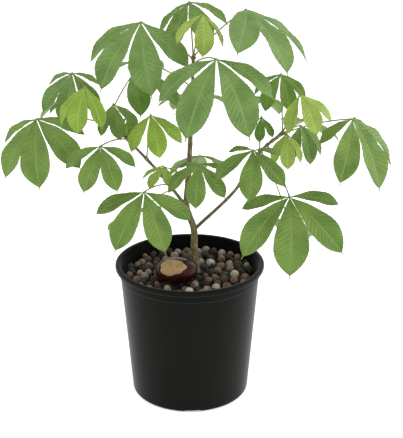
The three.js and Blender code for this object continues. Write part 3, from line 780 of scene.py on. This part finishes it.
# the pot's section from the middle of its underside, up the outside, over the lip and down to the floor
def potProfile():
    height, wall, floor = pot["height"], pot["wall"], pot["floor"]
    rim, inner = pot["rimRadius"], pot["rimInnerRadius"]
    base, top, collar = pot["baseRadius"], pot["wallTopRadius"], pot["collarRadius"]
    ledge, lip, corner = height - pot["collarHeight"], height - pot["lipHeight"], pot["baseCorner"]
    return np.vstack([
        [[pot["innerRing"], 0], [base - corner - 2, 0]],
        bendRound([base - corner, 0], [base, 0], [base + 0.2, corner]),
        np.linspace([base + 0.3, corner + 1.5], [top - 0.1, ledge - 3], 12),
        bendRound([top, ledge - 1], [top, ledge], [collar - 0.4, ledge]),
        bendRound([collar - 0.3, ledge + 0.1], [collar, ledge + 0.2], [collar, ledge + 1]),
        bendRound([collar, lip - 1.5], [collar, lip], [collar + 1.5, lip]),
        bendRound([rim - 1.2, lip], [rim, lip], [rim, lip + 1.2]),
        bendRound([rim, height - 2.2], [rim, height], [rim - 2.2, height]),
        bendRound([inner + 1.4, height], [inner, height], [inner, height - 1.6]),
        np.linspace([collar - wall, ledge + 2], [top - wall, ledge - 2], 3),
        bendRound([base - wall, floor + 3], [base - wall, floor], [base - wall - 3, floor]),
        [[pot["innerRing"], floor]],
    ])


# points turned about the upright axis by the sine and cosine of the aim
def turnedAbout(flat, aim):
    return flat @ np.array([[math.cos(aim), math.sin(aim)], [-math.sin(aim), math.cos(aim)]])


# a drain channel seen from above: straight sides with a round inner end, run out past the wall
def channelOutline():
    half = drain["width"] / 2
    bend = np.linspace(np.pi / 2, 3 * np.pi / 2, 13)
    inner = np.column_stack([drain["start"] + half + half * np.cos(bend), half * np.sin(bend)])
    return np.vstack([inner, [[pot["rimRadius"], -half], [pot["rimRadius"], half]]])


# a drain hole seen from above, a circle out at its place
def holeOutline():
    bend = np.linspace(0, 2 * np.pi, 32, endpoint=False)
    return drain["holeRadius"] * np.column_stack([np.cos(bend), np.sin(bend)]) + [drain["holePlace"], 0]


# the same outline cut out of the pot at each of its drains
def cutDrains(piece, outline, low, high):
    cutters = Gathered()
    for k in range(drain["count"]):
        aim = math.radians(drain["turn"]) + k * 2 * math.pi / drain["count"]
        cutters.add(prismShape(turnedAbout(outline, aim), low, high))
    cutter = placed("cutter", cutters.mesh("cutter"))
    cut = piece.modifiers.new("drain", "BOOLEAN")
    cut.operation, cut.object, cut.solver = "DIFFERENCE", cutter, "EXACT"
    graph = bpy.context.evaluated_depsgraph_get()
    piece.data = bpy.data.meshes.new_from_object(piece.evaluated_get(graph))
    piece.modifiers.clear()
    bpy.data.objects.remove(cutter)


# the section turned into a pot, then its drain channels and holes cut
def makePot():
    gathered = Gathered()
    gathered.add(turnedShape(potProfile(), pot["sides"]))
    piece = makePiece("nurseryPot", gathered, [mouldedPolypropylene()], ["pot"],
                      pot["crease"])
    cutDrains(piece, channelOutline(), -3, drain["depth"])
    cutDrains(piece, holeOutline(), -3, pot["floor"] + 3)
    piece.data.set_sharp_from_angle(angle=math.radians(pot["crease"]))
    print("drains cut:", len(piece.data.polygons), "faces")


conker = {"place": (-13, -24), "width": 43, "depth": 37, "height": 24.5, "scarToward": (-0.22, -0.62, 0.75),
          "scarPlace": 0.9, "scarPress": 0.85, "scarEdge": 0.8, "edgeWaves": [(3, 0.03, 1), (7, 0.02, 0)],
          "rows": 96, "columns": 120, "lump": 0.018}
pebble = {"smallest": 2.9, "largest": 4.6, "fieldRadius": 66, "tries": 7000, "overlap": 1.02, "lump": 0.13,
          "rows": 6, "columns": 8, "layers": [ground - 6.0, ground - 0.8], "rise": 1.0, "seed": 7,
          "wallOverlap": 0.7, "seedShare": 0.43, "trunkGap": 4.6, "squash": (0.84, 1.06), "lean": 1.9}


# pebbles thrown at random onto a disc, largest first: one is kept where it lies clear of those before it and
# of the trunk and, in the top layer, of the seed
def scatterPebbles(rng, isTop):
    size = np.sort(rng.uniform(pebble["smallest"], pebble["largest"], pebble["tries"]))[::-1]
    reach = (pebble["fieldRadius"] - size * pebble["wallOverlap"]) * np.sqrt(rng.random(pebble["tries"]))
    aim = rng.random(pebble["tries"]) * 2 * np.pi
    spots = np.stack([reach * np.cos(aim), reach * np.sin(aim), size], axis=-1)
    fromSeed = (spots[:, :2] - conker["place"]) / [conker["width"], conker["depth"]]
    onSeed = np.linalg.norm(fromSeed, axis=1) < pebble["seedShare"]
    fromTrunk = spots[:, :2] - limbs["trunk"]["points"][0][:2]
    onTrunk = np.linalg.norm(fromTrunk, axis=1) < size + pebble["trunkGap"]
    kept = np.empty((0, 3))
    for spot in spots[~(onTrunk | (onSeed & isTop))]:
        gap = np.linalg.norm(kept[:, :2] - spot[:2], axis=1) - (kept[:, 2] + spot[2]) * pebble["overlap"]
        if (gap > 0).all():
            kept = np.vstack([kept, spot])
    return kept


# a ball squashed along its own axes and spun, with lumps as sines across random directions
def pebbleShape(rng, centre, size):
    spin = rng.random() * 2 * np.pi
    squash, lean = rng.uniform(*pebble["squash"], 3), rng.normal(size=(3, 3)) * pebble["lean"]

    def lumpy(directions):
        lumps = 1 + pebble["lump"] * np.sin(directions @ lean + spin).mean(axis=-1, keepdims=True)
        turned = directions * squash * lumps
        turned[..., :2] = turnedAbout(turned[..., :2], spin)
        return turned * size + centre

    return closedRings(lumpy(ballPoints(pebble["rows"], pebble["columns"])), *lumpy(poles))


# the fill: a cone inside the pot's wall, from its floor up to the middle of the lower pebbles
def fillShape():
    inner, outer = [pot[key] - pot["wall"] - clearance for key in ("baseRadius", "wallTopRadius")]
    top, low = pebble["layers"][0], pot["floor"] + clearance
    share = (top - pot["floor"]) / (pot["height"] - pot["collarHeight"] - pot["floor"])
    edge = inner + (outer - inner) * share
    return turnedShape(np.array([[inner - 1, low], [inner, low + 1], [edge, top]]), 96)


# two layers over the fill: the upper one in every tone, the lower one in the darkest alone as painted shade
# in the gaps between the upper pebbles
def makePebbles():
    rng = np.random.default_rng(pebble["seed"])
    limits = np.cumsum([tone["share"] for tone in clayTones])
    gathered = Gathered()
    for layer, height in enumerate(pebble["layers"]):
        for x, y, size in scatterPebbles(rng, layer == 1):
            lift = rng.uniform(-pebble["rise"], pebble["rise"])
            # the lower layer takes the darkest clay throughout: painted shade for the gaps, not a layer of
            # darker pebbles
            shade = int(np.searchsorted(limits, rng.random() * limits[-1])) if layer == 1 else 0
            gathered.add(pebbleShape(rng, [x, y, height + lift], size), (shade, shade, shade))
    fill = len(clayTones)
    gathered.add(fillShape(), (fill, fill, fill))
    makePiece("clayPebbles", gathered, [*[firedClay(tone) for tone in clayTones], dampCompostAndPaintedShade()],
              ["clay_pebbles"], crease=60)


# a squashed ball pressed flat round its scar, its poles on the scar's axis so that the scar's edge is a ring;
# the edge wanders by a small sum of sines
def makeConker():
    scar = unit(np.array(conker["scarToward"]))
    aside = unit(np.cross(scar, [0, 0, 1]))
    axes = np.stack([aside, np.cross(scar, aside), scar])
    half = np.array([conker["width"], conker["depth"], conker["height"]]) / 2
    centre = np.array([*conker["place"], ground + clearance + half[2]])

    def pressed(directions):
        over = np.maximum(directions[..., 2:] - conker["scarPlace"], 0)
        turned = directions @ axes - over * conker["scarPress"] * scar
        lumps = 1 + conker["lump"] * np.sin(turned @ [3.1, 2.2, 1.4] + 0.7)[..., None]
        return centre + turned * lumps * half * (1 - conker["lump"])

    ball = ballPoints(conker["rows"], conker["columns"])
    angle = np.linspace(0, 2 * np.pi, conker["columns"], endpoint=False)
    waves = [height * np.sin(times * angle + start) for times, height, start in conker["edgeWaves"]]
    edge = conker["scarEdge"] + sum(waves)
    onScar = (ball[:-1, :, 2] > edge).ravel().astype(int)
    gathered = Gathered()
    gathered.add(closedRings(pressed(ball), *pressed(poles)), (onScar, 1, 0))
    makePiece("conkerSeed", gathered, [polishedSeedCoat(), dryCork()], ["conker"], crease=70)


view = {"place": (0.0118, -1.063, 0.604), "down": 21.5, "focalPixels": 1150, "imageHeight": 438}
studio = {"floorSize": 6, "floorDrop": 0.0004, "world": 1.0,
          "lamps": [{"name": "softboxLeft", "place": (-1.2, -0.7, 1.6), "size": 1.2, "power": 12},
                    {"name": "softboxRight", "place": (1.5, -0.1, 0.8), "size": 2.4, "power": 29}]}


# a camera that looks along +Y and down; its lens = the sensor's width times the focal length over the
# picture's height, both in pixels
def setCamera():
    data = bpy.data.cameras.new("camera")
    data.lens = data.sensor_width * view["focalPixels"] / view["imageHeight"]
    camera = placed("camera", data)
    camera.location = view["place"]
    camera.rotation_euler = (math.radians(90 - view["down"]), 0, 0)
    bpy.context.scene.camera = camera


# a lamp turned down from overhead by its slope to the tree, then round to its side
def addLamp(lamp):
    data = bpy.data.lights.new(lamp["name"], "AREA")
    data.size, data.energy = lamp["size"], lamp["power"]
    made = placed(lamp["name"], data)
    made.location = lamp["place"]
    x, y, z = lamp["place"]
    made.rotation_euler = (math.atan2(math.hypot(x, y), z - 0.2), 0, math.atan2(-y, -x) - math.pi / 2)


# paper backdrop: matt, even white and faintly bright of itself
def matPaper():
    material, tree, here = startMaterial("matPaper")
    fibre = addNode(tree, "ShaderNodeTexNoise", {"Scale": perSize(4)}, here)
    white = addNode(tree, "ShaderNodeValToRGB", links=[("Fac", fibre, "Fac")])
    setRamp(white, [(0.3, "#fafaf9"), (0.7, "#fdfdfc")])
    shader = addNode(tree, "ShaderNodeBsdfPrincipled", {"Roughness": 0.9, "Emission Strength": 0.35},
                     [("Base Color", white, "Color"), ("Emission Color", white, "Color")])
    addNode(tree, "ShaderNodeOutputMaterial", links=[("Surface", shader, "BSDF")])
    return material


# a bright floor, an even white sky and two soft lamps, none of them part of the tree
def setStudio():
    size, drop = studio["floorSize"], -studio["floorDrop"]
    made = bpy.data.meshes.new("floor")
    made.from_pydata([(-size, -size, drop), (size, -size, drop), (size, size, drop), (-size, size, drop)], [],
                     [(0, 1, 2, 3)])
    made.materials.append(matPaper())
    floor = placed("floor", made)
    world = bpy.data.worlds.new("softWhite")
    bpy.context.scene.world = world
    world.use_nodes = True
    world.node_tree.nodes["Background"].inputs["Color"].default_value = (1, 1, 1, 1)
    world.node_tree.nodes["Background"].inputs["Strength"].default_value = studio["world"]
    for lamp in studio["lamps"]:
        addLamp(lamp)
    bpy.context.scene.view_settings.view_transform = "Standard"
    print("studio set")


setCamera()
setStudio()
makePot()
makePebbles()
makeConker()
makeLimbs()
makeLeaves()
makeStalks()
